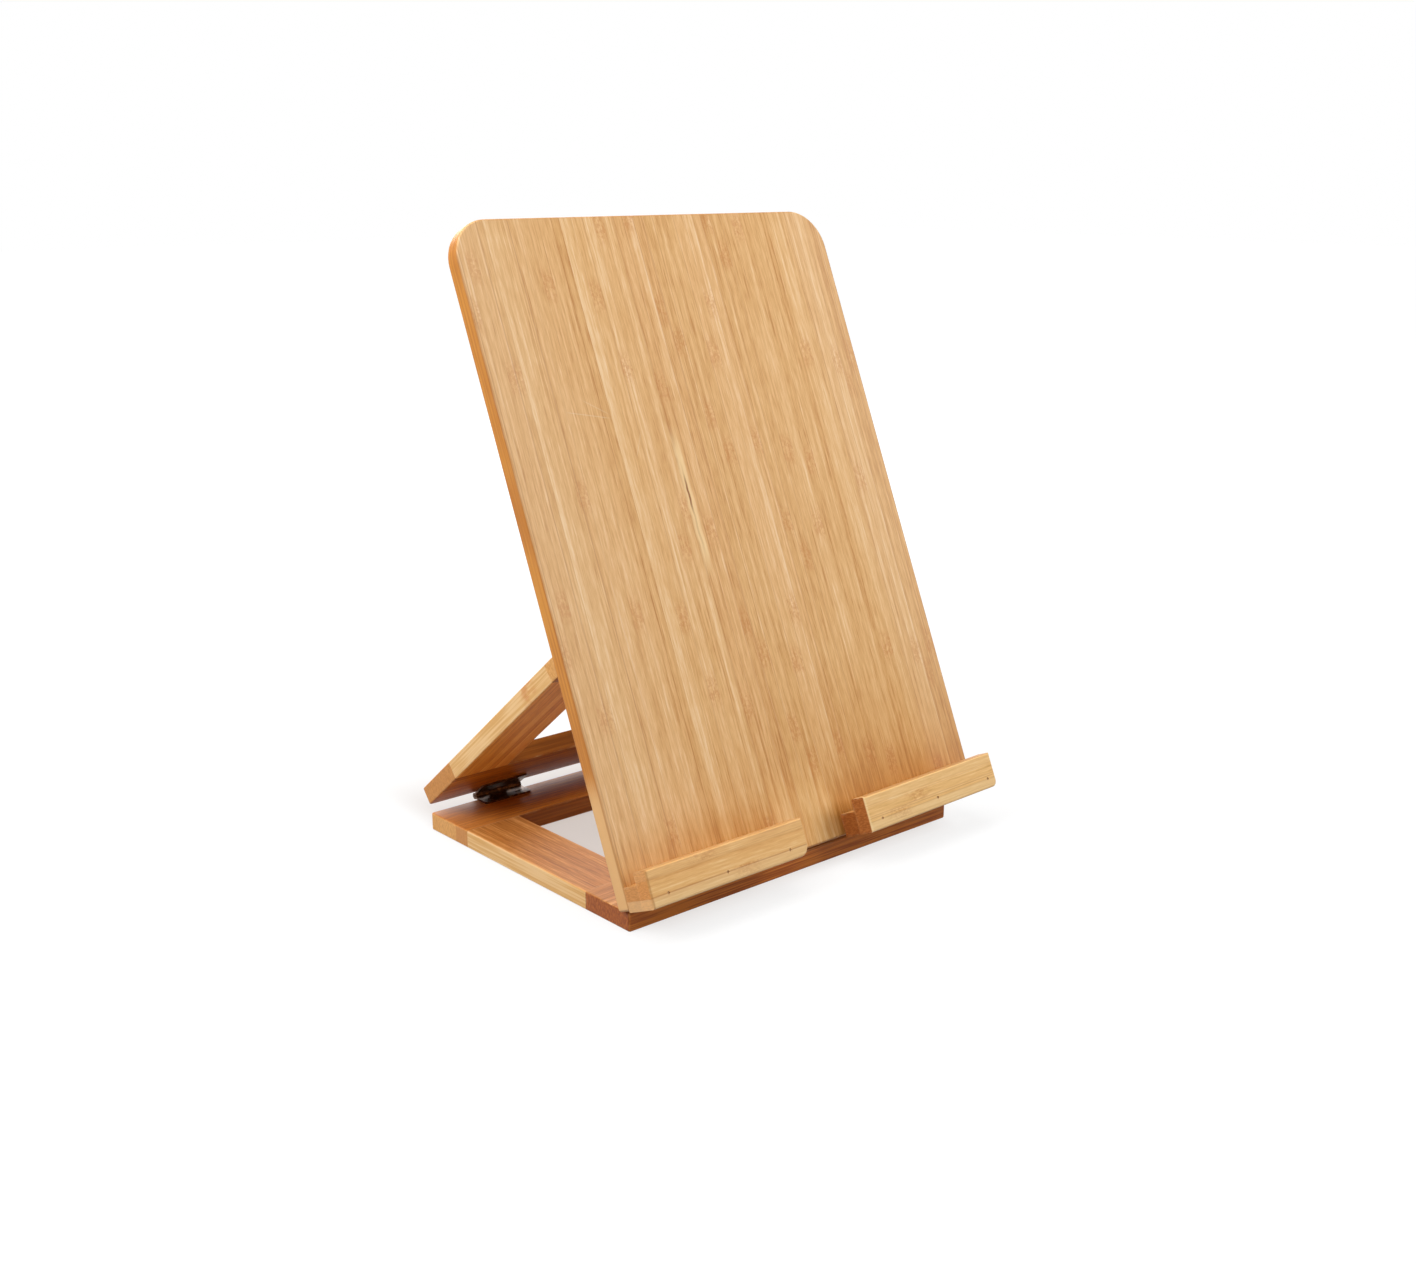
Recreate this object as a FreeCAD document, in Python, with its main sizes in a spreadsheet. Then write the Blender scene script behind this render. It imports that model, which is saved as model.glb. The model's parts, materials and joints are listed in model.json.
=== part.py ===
"""Folding bible stand of laminated bamboo, modelled in millimetres with +Z up.

Three flat assemblies are hinged one after another: a base frame that lies on the table, a strut
frame hinged behind the base's rear rail, and a board hinged to the strut's upper end. The board's
foot only rests on the base's front rail. Every piece is modelled in the flat frame of its own
assembly, as it lies when the stand is folded, and is then placed as the stand stands open.

The origin is the middle of the base's front rail, on its underside. +X is to the reader's right,
+Y runs from the reader to the rear.
"""
import FreeCAD, Part
import Sketcher

import math
import os
import re

Vector = FreeCAD.Vector

DIMENSIONS = [
    # alias, millimetres (or degrees), meaning
    ("base_width", 200.0, "base and strut frames, outside width"),
    ("base_depth", 154.4, "base frame, front to rear"),
    ("base_thick", 8.7, "base rails, thickness"),
    ("front_rail", 30.5, "base front rail, width"),
    ("rear_rail", 31.6, "base rear rail, width"),
    ("side_rail", 29.5, "side rails of both frames, width"),
    ("strut_length", 144.4, "strut frame, lower end to upper end"),
    ("strut_thick", 9.0, "strut rails, thickness"),
    ("strut_foot", 32.0, "strut bottom rail, width"),
    ("strut_head", 9.0, "strut top rail, width"),
    ("frame_corner", 1.2, "plan radius of the frames' outer corners"),
    ("frame_edge", 0.8, "radius of the frames' outer edges"),
    ("board_width", 220.0, "board, side to side"),
    ("board_height", 302.7, "board, foot to top"),
    ("board_thick", 8.0, "board, thickness"),
    ("board_corner", 19.0, "radius of the board's two top corners"),
    ("board_foot_corner", 1.5, "radius of the board's two bottom corners"),
    ("board_edge", 1.0, "radius of the board's edges"),
    ("board_overhang", 3.0, "board beyond the frames, on the left"),
    ("board_hinge_up", 114.2, "board's bottom edge to the upper hinge axis"),
    ("foot_inset", 3.3, "base's front face to the board's rear bottom edge"),
    ("foot_clear", 0.1, "board's rear bottom edge, if sharp, above the base"),
    ("left_ledge_length", 89.5, "left ledge, along the board"),
    ("right_ledge_length", 91.0, "right ledge, along the board"),
    ("left_ledge_corner", 5.0, "radius of the left ledge's lower right corner"),
    ("right_ledge_corner", 3.0, "radius of the right ledge's lower right corner"),
    ("shelf_depth", 9.5, "shelf strip, board to lip: the groove's width"),
    ("shelf_height", 10.7, "shelf strip, along the board"),
    ("lip_thick", 8.0, "lip strip, thickness"),
    ("lip_height", 16.6, "lip strip, along the board"),
    ("lip_edge", 0.9, "radius of the lip's edges"),
    ("right_ledge_x", 127.0, "board's left edge to the right ledge's inner end"),
    ("left_ledge_drop", 0.5, "left ledge, below the board's foot"),
    ("right_ledge_drop", 0.7, "right ledge's inner end, below the board's foot"),
    ("right_ledge_tilt", 0.6, "right ledge, its outer end raised, degrees"),
    ("right_ledge_stand", 1.9, "right ledge's inner end, off the board's face"),
    ("hinge_length", 27.0, "hinges, along the pin"),
    ("hinge_inset", 26.5, "frame's outer side to the hinge"),
    ("hinge_gap", 2.6, "gap between the two woods when a hinge is closed"),
    ("hinge_setback", 1.9, "rail's end face to the hinge axis"),
    ("leaf_thick", 0.9, "hinge leaf, thickness"),
    ("leaf_reach", 10.6, "hinge axis to the leaf's far edge"),
    ("leaf_corner", 1.2, "radius of the leaf's two far corners"),
    ("knuckle_radius", 1.6, "hinge knuckle, outside radius"),
    ("knuckle_outer", 8.2, "length of each outer knuckle"),
    ("knuckle_gap", 0.2, "gap between knuckles"),
    ("leaf_relief", 0.3, "leaf's cut-out beyond the other leaf's knuckle"),
    ("groove_clear", 0.2, "knuckles clear of the shallow groove in the board's back"),
    ("pin_radius", 0.8, "hinge pin"),
    ("pin_clear", 0.05, "pin in its knuckles, on radius"),
    ("pin_proud", 0.3, "pin beyond the knuckles at each end"),
    ("screw_spacing", 16.0, "between the two screws of a leaf"),
    ("screw_row", 7.0, "hinge axis to the row of screws"),
    ("screw_length", 6.5, "hinge screws, overall"),
    ("screw_radius", 1.0, "hinge screws, shank"),
    ("screw_head", 1.9, "hinge screws, head radius"),
    ("screw_cone", 0.9, "hinge screws, height of the countersunk head"),
    ("screw_slot", 0.6, "hinge screws, width of the slot"),
    ("screw_slot_deep", 0.4, "hinge screws, depth of the slot"),
    ("screw_clear", 0.05, "screws in their holes, on radius"),
    ("hole_spare", 0.3, "blind holes beyond what they hold"),
    ("dowel_radius", 2.0, "frame dowels"),
    ("dowel_length", 20.0, "frame dowels"),
    ("dowel_spacing", 14.0, "between the two dowels of a joint"),
    ("dowel_bite", 10.0, "frame dowels' length in a cross rail"),
    ("head_dowel_bite", 6.0, "frame dowels' length in the strut's top rail"),
    ("dowel_clear", 0.05, "dowels in their holes, on radius"),
    ("brad_radius", 0.6, "ledge brads"),
    ("brad_length", 22.0, "ledge brads"),
    ("brad_sink", 0.3, "brads below the lip's face"),
    ("brad_up", 4.7, "ledge's bottom to the row of brads"),
    ("left_brad_first", 9.3, "left ledge's left end to its first brad"),
    ("left_brad_second", 42.2, "left ledge's left end to its second brad"),
    ("left_brad_last", 10.7, "left ledge's right end to its last brad"),
    ("right_brad_first", 8.7, "right ledge's left end to its first brad"),
    ("right_brad_second", 47.7, "right ledge's left end to its second brad"),
    ("right_brad_last", 5.9, "right ledge's right end to its last brad"),
    ("brad_clear", 0.05, "brads in their holes, on radius"),
]

doc = FreeCAD.newDocument("bible_stand")
sheet = doc.addObject("Spreadsheet::Sheet", "dims")
for row, (alias, value, meaning) in enumerate(DIMENSIONS, start=1):
    sheet.set("A%d" % row, meaning)
    sheet.set("B%d" % row, str(value))
    sheet.setAlias("B%d" % row, alias)
doc.recompute()

TOLERANCE = 1e-3
DRAWN = 9.0  # a sketched line's first length, before its constraint sets the real one
AXIS_X = Vector(1, 0, 0)
AXIS_Y = Vector(0, 1, 0)
AXIS_Z = Vector(0, 0, 1)
UPRIGHT = FreeCAD.Rotation()
HALF_TURN = FreeCAD.Rotation(AXIS_Z, 180)
FLIPPED = FreeCAD.Rotation(AXIS_X, 180)
LENGTHWAYS = FreeCAD.Rotation(AXIS_Y, 90)
REARWARD = FreeCAD.Rotation(AXIS_X, -90)

sub_parts = []


def dim(alias):
    """The value of one driving dimension."""
    return float(sheet.get(alias))


def at(x=0.0, y=0.0, z=0.0, rotation=UPRIGHT):
    """A placement from three lengths and a turn."""
    return FreeCAD.Placement(Vector(x, y, z), rotation)


def bind(obj, **sizes):
    """Tie an object's sizes to expressions in the sheet's aliases."""
    for name, expression in sizes.items():
        obj.setExpression(name, in_sheet(expression))


def in_sheet(expression):
    """Write the sheet's name before each alias of an expression."""
    return re.sub(r"[a-z]+(_[a-z]+)+", lambda alias: "dims." + alias.group(0), expression)


# ------------------------------------------------------------- how the open stand stands

def open_triangle():
    """The two hinge axes in the base's frame, and the slopes of strut and board in degrees.

    The rear hinge axis, the upper hinge axis and the board's foot are the corners of a triangle
    whose three sides are known, so the lengths of the pieces decide how far the board leans.
    """
    half_gap = dim("hinge_gap") / 2
    rear_axis = Vector(0, dim("base_depth") + dim("hinge_setback"), dim("base_thick") + half_gap)
    foot = Vector(0, dim("foot_inset"), dim("base_thick") + dim("foot_clear"))
    strut_run = dim("strut_length") + 2 * dim("hinge_setback")
    strut_rise = dim("strut_thick") + dim("hinge_gap")
    strut_side = math.hypot(strut_run, strut_rise)
    board_side = math.hypot(dim("board_hinge_up"), half_gap)
    floor_side = rear_axis - foot
    cosine = ((board_side ** 2 + floor_side.Length ** 2 - strut_side ** 2)
              / (2 * board_side * floor_side.Length))
    foot_angle = math.acos(cosine) + math.atan2(floor_side.z, floor_side.y)
    upper_axis = foot + Vector(0, math.cos(foot_angle), math.sin(foot_angle)) * board_side
    board_slope = foot_angle + math.atan2(half_gap, dim("board_hinge_up"))
    rise = upper_axis - rear_axis
    strut_slope = math.atan2(rise.z, -rise.y) - math.atan2(strut_rise, strut_run)
    return rear_axis, upper_axis, math.degrees(strut_slope), math.degrees(board_slope)


rear_axis, upper_axis, strut_slope, board_slope = open_triangle()

# Each assembly's flat frame has its front left lower corner at the origin, as when folded flat.
base_frame = at(-dim("base_width") / 2, -dim("front_rail") / 2)
strut_axis_frame = base_frame * FreeCAD.Placement(rear_axis, FreeCAD.Rotation(AXIS_X, -strut_slope))
strut_frame = strut_axis_frame * at(0, -dim("hinge_setback") - dim("strut_length"), dim("hinge_gap") / 2)
board_axis_frame = base_frame * FreeCAD.Placement(upper_axis, FreeCAD.Rotation(AXIS_X, board_slope))
board_frame = board_axis_frame * at(-dim("board_overhang"), -dim("board_hinge_up"), dim("hinge_gap") / 2)


# ------------------------------------------------------------- helpers for the pieces

def new_body(label):
    """An empty PartDesign body."""
    body = doc.addObject("PartDesign::Body", label)
    body.Label = label
    return body


def place(sub_part, placement):
    """Set a finished sub-part in the stand and list it for export."""
    sub_part.Placement = placement
    sub_parts.append(sub_part)


def slab(label, length, width, thick):
    """A body whose outline is a rectangle from the origin along +X and +Y, padded up."""
    body = new_body(label)
    sketch = body.newObject("Sketcher::SketchObject", label + "_outline")
    plane = [item for item in body.Origin.OriginFeatures if item.Role == "XY_Plane"]
    sketch.AttachmentSupport = [(plane[0], "")]
    sketch.MapMode = "FlatFace"
    corners = [Vector(0, 0, 0), Vector(DRAWN, 0, 0), Vector(DRAWN, DRAWN, 0), Vector(0, DRAWN, 0)]
    for start, end in zip(corners, corners[1:] + corners[:1]):
        sketch.addGeometry(Part.LineSegment(start, end), False)
    for line in range(4):
        sketch.addConstraint(Sketcher.Constraint("Coincident", line, 2, (line + 1) % 4, 1))
        sketch.addConstraint(Sketcher.Constraint(("Horizontal", "Vertical")[line % 2], line))
    sketch.addConstraint(Sketcher.Constraint("Coincident", 0, 1, -1, 1))
    across = sketch.addConstraint(Sketcher.Constraint("DistanceX", 0, 1, 0, 2, DRAWN))
    along = sketch.addConstraint(Sketcher.Constraint("DistanceY", 1, 1, 1, 2, DRAWN))
    sketch.setExpression("Constraints[%d]" % across, in_sheet(length))
    sketch.setExpression("Constraints[%d]" % along, in_sheet(width))
    pad = body.newObject("PartDesign::Pad", label + "_pad")
    pad.Profile = sketch
    bind(pad, Length=thick)
    return body


def round_edges(body, radius, wanted):
    """Round those edges of the body so far whose bounding boxes are wanted."""
    doc.recompute()
    solid = body.Tip
    names = ["Edge%d" % number for number, edge in enumerate(solid.Shape.Edges, start=1)
             if wanted(edge.BoundBox)]
    fillet = body.newObject("PartDesign::Fillet", body.Name + "_round")
    fillet.Base = (solid, names)
    bind(fillet, Radius=radius)


def is_upright(box):
    """Whether an edge runs along Z."""
    return box.XLength < TOLERANCE and box.YLength < TOLERANCE


def is_level(box):
    """Whether an edge lies in a plane of constant Z."""
    return box.ZLength < TOLERANCE


def solid_of(body, kind, placement, **sizes):
    """Add a PartDesign primitive of a kind such as SubtractiveBox to a body."""
    primitive = body.newObject("PartDesign::" + kind, body.Name + "_" + kind)
    primitive.Placement = placement
    bind(primitive, **sizes)


def drill(body, placement, radius, depth):
    """Cut a round hole that starts at the placement and runs along its +Z."""
    solid_of(body, "SubtractiveCylinder", placement, Radius=radius, Height=depth)


def group(label, master, places):
    """A sub-part of separate solids: linked copies of one master piece."""
    copies = []
    for where in places:
        copy = doc.addObject("App::Link", label + "_copy")
        copy.LinkedObject = master
        copy.Placement = where
        copies.append(copy)
    compound = doc.addObject("Part::Compound", label)
    compound.Label = label
    compound.Links = copies
    return compound


# ------------------------------------------------------------- base frame and strut frame

def hinge_starts():
    """The X at which each of a frame's two hinges begins."""
    return [dim("hinge_inset"), dim("base_width") - dim("hinge_inset") - dim("hinge_length")]


def screw_columns():
    """The X of every hinge screw, on the base's width."""
    middles = [start + dim("hinge_length") / 2 for start in hinge_starts()]
    return [middle + side * dim("screw_spacing") / 2 for middle in middles for side in (-1, 1)]


def dowel_columns():
    """The X of every dowel, on the base's width."""
    middles = [dim("side_rail") / 2, dim("base_width") - dim("side_rail") / 2]
    return [middle + side * dim("dowel_spacing") / 2 for middle in middles for side in (-1, 1)]


def drill_for_screws(body, columns, row, level, rotation):
    """Pilot holes for hinge screws, in a row, from the face at this level inwards."""
    for column in columns:
        drill(body, at(column, row, level, rotation), "screw_radius + screw_clear",
              "screw_length - leaf_thick + hole_spare")


def cross_rail(label, width, thick, screws=None, bite="dowel_bite"):
    """A rail across a frame: outer face at Y = 0, side rails butt on its inner face.

    screws is "top" or "under" where a hinge is screwed to that face.
    """
    body = slab(label, "base_width", width, thick)
    round_edges(body, "frame_corner", lambda box: is_upright(box) and box.YMax < TOLERANCE)
    inner = dim(width) - TOLERANCE
    round_edges(body, "frame_edge", lambda box: is_level(box) and box.YMin < inner)
    for column in dowel_columns():
        drill(body, at(column, dim(width) - dim(bite) - dim("hole_spare"), dim(thick) / 2, REARWARD),
              "dowel_radius + dowel_clear", bite + " + 2 * hole_spare")
    row = dim("screw_row") - dim("hinge_setback")
    if screws == "top":
        drill_for_screws(body, screw_columns(), row, dim(thick), FLIPPED)
    if screws == "under":
        drill_for_screws(body, screw_columns(), row, 0, UPRIGHT)
    return body


def side_rail(label, length, thick, near_bite="dowel_bite", far_bite="dowel_bite"):
    """A rail between two cross rails: outer face at X = 0, dowelled at both ends.

    The bites are how deep its dowels go into the cross rails at Y = 0 and at the far end.
    """
    body = slab(label, "side_rail", length, thick)
    round_edges(body, "frame_edge",
                lambda box: is_level(box) and box.YLength > TOLERANCE and box.XMax < TOLERANCE)
    doc.recompute()
    far_end = body.Shape.BoundBox.YMax
    far_start = far_end - (dim("dowel_length") - dim(far_bite)) - dim("hole_spare")
    for start, bite in ((-dim("hole_spare"), near_bite), (far_start, far_bite)):
        for column in dowel_columns()[:2]:
            drill(body, at(column, start, dim(thick) / 2, REARWARD),
                  "dowel_radius + dowel_clear", "dowel_length - %s + 2 * hole_spare" % bite)
    return body


dowel = doc.addObject("Part::Cylinder", "dowel")
bind(dowel, Radius="dowel_radius", Height="dowel_length")


def frame_dowels(label, starts, thick):
    """All the dowels of one frame, from the Y where each row of them starts."""
    return group(label, dowel, [at(column, start, dim(thick) / 2, REARWARD)
                                for start in starts for column in dowel_columns()])


def build_base():
    """The base frame, flat on the table."""
    width, depth = dim("base_width"), dim("base_depth")
    length = "base_depth - front_rail - rear_rail"
    rear_joint = depth - dim("rear_rail")
    rear_dowels = rear_joint + dim("dowel_bite") - dim("dowel_length")
    place(cross_rail("base_front_rail", "front_rail", "base_thick"), base_frame)
    place(cross_rail("base_rear_rail", "rear_rail", "base_thick", screws="top"),
          base_frame * at(width, depth, 0, HALF_TURN))
    place(side_rail("base_left_rail", length, "base_thick"), base_frame * at(0, dim("front_rail")))
    place(side_rail("base_right_rail", length, "base_thick"),
          base_frame * at(width, rear_joint, 0, HALF_TURN))
    place(frame_dowels("base_dowels", (dim("front_rail") - dim("dowel_bite"), rear_dowels), "base_thick"),
          base_frame)


def build_strut():
    """The strut frame: its upper end is the front end when it lies folded on the base."""
    width, depth = dim("base_width"), dim("strut_length")
    length = "strut_length - strut_head - strut_foot"
    rear_joint = depth - dim("strut_foot")
    rear_dowels = rear_joint + dim("dowel_bite") - dim("dowel_length")
    place(cross_rail("strut_top_rail", "strut_head", "strut_thick", screws="top", bite="head_dowel_bite"),
          strut_frame)
    place(cross_rail("strut_bottom_rail", "strut_foot", "strut_thick", screws="under"),
          strut_frame * at(width, depth, 0, HALF_TURN))
    place(side_rail("strut_left_rail", length, "strut_thick", near_bite="head_dowel_bite"),
          strut_frame * at(0, dim("strut_head")))
    place(side_rail("strut_right_rail", length, "strut_thick", far_bite="head_dowel_bite"),
          strut_frame * at(width, rear_joint, 0, HALF_TURN))
    place(frame_dowels("strut_dowels", (dim("strut_head") - dim("head_dowel_bite"), rear_dowels),
                       "strut_thick"), strut_frame)


# ------------------------------------------------------------- board and ledges

def ledge_frames():
    """Where each ledge sits on the board's face: its lower inner or outer left corner."""
    face = dim("board_thick")
    skew = math.degrees(math.asin(dim("right_ledge_stand") / dim("right_ledge_length")))
    turn = FreeCAD.Rotation(AXIS_Z, dim("right_ledge_tilt")) * FreeCAD.Rotation(AXIS_Y, skew)
    return {"left": at(0, -dim("left_ledge_drop"), face),
            "right": at(dim("right_ledge_x"), -dim("right_ledge_drop"),
                        face + dim("right_ledge_stand"), turn)}


def brad_columns(side):
    """The X of each brad along a ledge, nailed by hand."""
    last = dim(side + "_ledge_length") - dim(side + "_brad_last")
    return [dim(side + "_brad_first"), dim(side + "_brad_second"), last]


def round_lower_right_corner(body, side):
    """Round a ledge strip's upright edge at its lower right corner."""
    far_end = dim(side + "_ledge_length") - TOLERANCE
    round_edges(body, side + "_ledge_corner",
                lambda box: is_upright(box) and box.YMax < TOLERANCE and box.XMin > far_end)


def drill_for_brads(body, side, frame, start, depth):
    """Holes for the brads of one ledge, from this height over the board's face outwards."""
    for column in brad_columns(side):
        drill(body, frame * at(column, dim("brad_up"), start), "brad_radius + brad_clear", depth)


def build_board():
    """The board: back at Z = 0, foot at Y = 0, face at the top."""
    board = slab("board", "board_width", "board_height", "board_thick")
    top = dim("board_height") - TOLERANCE
    round_edges(board, "board_corner", lambda box: is_upright(box) and box.YMin > top)
    round_edges(board, "board_foot_corner", lambda box: is_upright(box) and box.YMax < TOLERANCE)
    round_edges(board, "board_edge", is_level)
    bite = "(brad_length - shelf_depth - lip_thick + brad_sink)"
    deepest = (dim("brad_length") - dim("shelf_depth") - dim("lip_thick") + dim("brad_sink")
               + dim("hole_spare"))
    for side, frame in ledge_frames().items():
        drill_for_brads(board, side, frame, -deepest, bite + " + 2 * hole_spare")
    columns = [column + dim("board_overhang") for column in screw_columns()]
    drill_for_screws(board, columns, dim("board_hinge_up") + dim("screw_row"), 0, UPRIGHT)
    half = dim("knuckle_radius") + dim("groove_clear")
    for start in hinge_starts():
        corner = at(start + dim("board_overhang") - dim("pin_proud") - dim("groove_clear"),
                    dim("board_hinge_up") - half, -half - dim("hinge_gap") / 2)
        solid_of(board, "SubtractiveBox", corner, Length="hinge_length + 2 * (pin_proud + groove_clear)",
                 Width="2 * (knuckle_radius + groove_clear)", Height="2 * (knuckle_radius + groove_clear)")
    place(board, board_frame)


brad = doc.addObject("Part::Cylinder", "brad")
bind(brad, Radius="brad_radius", Height="brad_length")


def build_ledge(side, frame):
    """One ledge: a shelf strip on the board's face, a lip strip on that, and the brads."""
    length = side + "_ledge_length"
    shelf = slab(side + "_ledge_shelf", length, "shelf_height", "shelf_depth")
    round_lower_right_corner(shelf, side)
    drill_for_brads(shelf, side, at(), -dim("hole_spare"), "shelf_depth + 2 * hole_spare")
    place(shelf, board_frame * frame)

    lip = slab(side + "_ledge_lip", length, "lip_height", "lip_thick")
    round_lower_right_corner(lip, side)
    front, top = dim("lip_thick") - TOLERANCE, dim("lip_height") - TOLERANCE
    round_edges(lip, "lip_edge", lambda box: is_level(box) and (box.ZMin > front or box.YMin > top))
    drill_for_brads(lip, side, at(), -dim("hole_spare"), "lip_thick + 2 * hole_spare")
    place(lip, board_frame * frame * at(z=dim("shelf_depth")))

    start = dim("shelf_depth") + dim("lip_thick") - dim("brad_sink") - dim("brad_length")
    brads = group(side + "_ledge_brads", brad,
                  [at(column, dim("brad_up"), start) for column in brad_columns(side)])
    place(brads, board_frame * frame)


# ------------------------------------------------------------- hinges

def leaf(label, outer_knuckles):
    """A hinge leaf below its axis, which runs along X from the origin; the plate reaches to -Y."""
    body = new_body(label)
    length, reach = dim("hinge_length"), dim("leaf_reach")
    under = -dim("hinge_gap") / 2
    solid_of(body, "AdditiveBox", at(0, -reach, under),
             Length="hinge_length", Width="leaf_reach", Height="leaf_thick")
    round_edges(body, "leaf_corner", lambda box: is_upright(box) and box.YMax < TOLERANCE - reach)
    solid_of(body, "AdditiveCylinder", at(rotation=LENGTHWAYS),
             Radius="knuckle_radius", Height="hinge_length")
    drill(body, at(rotation=LENGTHWAYS), "pin_radius + pin_clear", "hinge_length")
    clear = dim("knuckle_radius") + dim("leaf_relief")
    knuckle, gap = dim("knuckle_outer"), dim("knuckle_gap")
    if outer_knuckles:
        reliefs = {knuckle: "hinge_length - 2 * knuckle_outer"}
    else:
        reliefs = {0: "knuckle_outer + knuckle_gap", length - knuckle - gap: "knuckle_outer + knuckle_gap"}
    for start, run in reliefs.items():
        solid_of(body, "SubtractiveBox", at(start, -clear, -clear), Length=run,
                 Width="2 * (knuckle_radius + leaf_relief)", Height="2 * (knuckle_radius + leaf_relief)")
    for side in (-1, 1):
        column = length / 2 + side * dim("screw_spacing") / 2
        row = -dim("screw_row")
        drill(body, at(column, row, under), "screw_radius + screw_clear", "leaf_thick")
        solid_of(body, "SubtractiveCone", at(column, row, under + dim("leaf_thick") - dim("screw_cone")),
                 Radius1="screw_radius + screw_clear", Radius2="screw_head + screw_clear",
                 Height="screw_cone")
    return body


def pin(label):
    """A hinge pin along X with slightly domed ends."""
    body = new_body(label)
    solid_of(body, "AdditiveCylinder", at(-dim("pin_proud"), 0, 0, LENGTHWAYS),
             Radius="pin_radius", Height="hinge_length + 2 * pin_proud")
    round_edges(body, "pin_proud", lambda box: box.XLength < TOLERANCE)
    return body


def build_hinge(name, lower_place, upper_place, lower, upper):
    """A butt hinge: the lower assembly's leaf and pin, and the upper assembly's leaf."""
    turned_over = at(dim("hinge_length"), 0, 0, FreeCAD.Rotation(AXIS_Y, 180))
    place(leaf("%s_hinge_%s_leaf" % (name, lower), True), lower_place)
    place(pin("%s_hinge_pin" % name), lower_place)
    place(leaf("%s_hinge_%s_leaf" % (name, upper), False), upper_place * turned_over)


def build_hinges():
    """Two hinges behind the base and two on the board's back."""
    length = dim("hinge_length")
    rear = base_frame * FreeCAD.Placement(rear_axis, UPRIGHT)
    top = strut_frame * at(0, -dim("hinge_setback"), dim("strut_thick") + dim("hinge_gap") / 2)
    for side, start in zip(("left", "right"), hinge_starts()):
        build_hinge("rear_" + side, rear * at(start), strut_axis_frame * at(start), "base", "strut")
        turned = at(start + length, 0, 0, HALF_TURN)
        build_hinge("top_" + side, top * turned, board_axis_frame * turned, "strut", "board")


def hinge_screw():
    """The master hinge screw: head's top at the origin, shank down."""
    body = new_body("hinge_screw")
    solid_of(body, "AdditiveCone", at(z=-dim("screw_cone")),
             Radius1="screw_radius", Radius2="screw_head", Height="screw_cone")
    solid_of(body, "AdditiveCylinder", at(z=-dim("screw_length")),
             Radius="screw_radius", Height="screw_length - screw_cone")
    solid_of(body, "SubtractiveBox",
             at(-dim("screw_head"), -dim("screw_slot") / 2, -dim("screw_slot_deep")),
             Length="2 * screw_head", Width="screw_slot", Height="screw_slot_deep")
    return body


def build_hinge_screws():
    """The four groups of hinge screws, each flush with its leaves."""
    screw = hinge_screw()
    inset = dim("screw_row") - dim("hinge_setback")
    thick = dim("leaf_thick")

    def row(label, frame, shift, along, level, rotation):
        places = [at(column + shift, along, level, rotation) for column in screw_columns()]
        place(group(label, screw, places), frame)

    row("rear_hinge_base_screws", base_frame, 0, dim("base_depth") - inset,
        dim("base_thick") + thick, UPRIGHT)
    row("rear_hinge_strut_screws", strut_frame, 0, dim("strut_length") - inset, -thick, FLIPPED)
    row("top_hinge_strut_screws", strut_frame, 0, inset, dim("strut_thick") + thick, UPRIGHT)
    row("top_hinge_board_screws", board_frame, dim("board_overhang"),
        dim("board_hinge_up") + dim("screw_row"), -thick, FLIPPED)


# ------------------------------------------------------------- build, check and export

def check_document():
    """Stop if any object failed or any sub-part has no sound shape."""
    for item in doc.Objects:
        if "Invalid" in item.State or "Error" in item.State:
            raise RuntimeError("%s failed: %s" % (item.Name, item.State))
    for sub_part in sub_parts:
        if sub_part.Shape.isNull() or not sub_part.Shape.isValid() or not sub_part.Shape.Solids:
            raise RuntimeError("%s has no sound shape" % sub_part.Label)


def export_sub_parts():
    """Write each sub-part to a STEP file of its own name."""
    os.makedirs("parts", exist_ok=True)
    for sub_part in sub_parts:
        sub_part.Shape.exportStep("parts/%s.step" % sub_part.Label)


build_base()
build_strut()
build_board()
for side, frame in ledge_frames().items():
    build_ledge(side, frame)
build_hinges()
build_hinge_screws()
doc.recompute()
check_document()
export_sub_parts()

for name, axis in (("rear hinge axis", rear_axis), ("upper hinge axis", upper_axis)):
    point = base_frame.multVec(axis)
    print("%s: Y %.4f, Z %.4f" % (name, point.y, point.z))
print("strut slope %.4f, board slope %.4f degrees" % (strut_slope, board_slope))
print("%d sub-parts" % len(sub_parts))
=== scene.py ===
"""The folding bible stand's finishes, light and camera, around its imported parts."""
import json
import math

import bpy
from mathutils import Euler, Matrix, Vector


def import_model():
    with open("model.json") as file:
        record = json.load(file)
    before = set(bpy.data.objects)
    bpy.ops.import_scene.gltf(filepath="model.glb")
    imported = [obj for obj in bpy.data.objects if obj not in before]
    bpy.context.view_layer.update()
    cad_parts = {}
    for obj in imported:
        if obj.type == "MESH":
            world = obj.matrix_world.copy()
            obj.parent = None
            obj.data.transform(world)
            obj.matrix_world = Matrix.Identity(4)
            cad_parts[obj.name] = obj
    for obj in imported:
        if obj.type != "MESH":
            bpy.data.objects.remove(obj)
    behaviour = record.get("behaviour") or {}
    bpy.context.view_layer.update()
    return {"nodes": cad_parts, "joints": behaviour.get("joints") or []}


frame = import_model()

# ------------------------------------------------------------- how the stand stands

joints = {joint["name"]: joint for joint in frame["joints"]}
STRUT_SLOPE = joints["strut_fold"]["range_deg"][1]
BOARD_SLOPE = -joints["board_fold"]["range_deg"][0] - STRUT_SLOPE

# Turns that lay each assembly flat, as it lies when the stand is folded, in degrees about X, Y and Z.
FLAT = (0.0, 0.0, 0.0)
STRUT = (STRUT_SLOPE, 0.0, 0.0)
BOARD = (-BOARD_SLOPE, 0.0, 0.0)
CROOKED = (-BOARD_SLOPE, -1.2, -0.6)  # the right ledge, nailed on a little askew
MM = 1000.0  # millimetres in a metre

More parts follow.
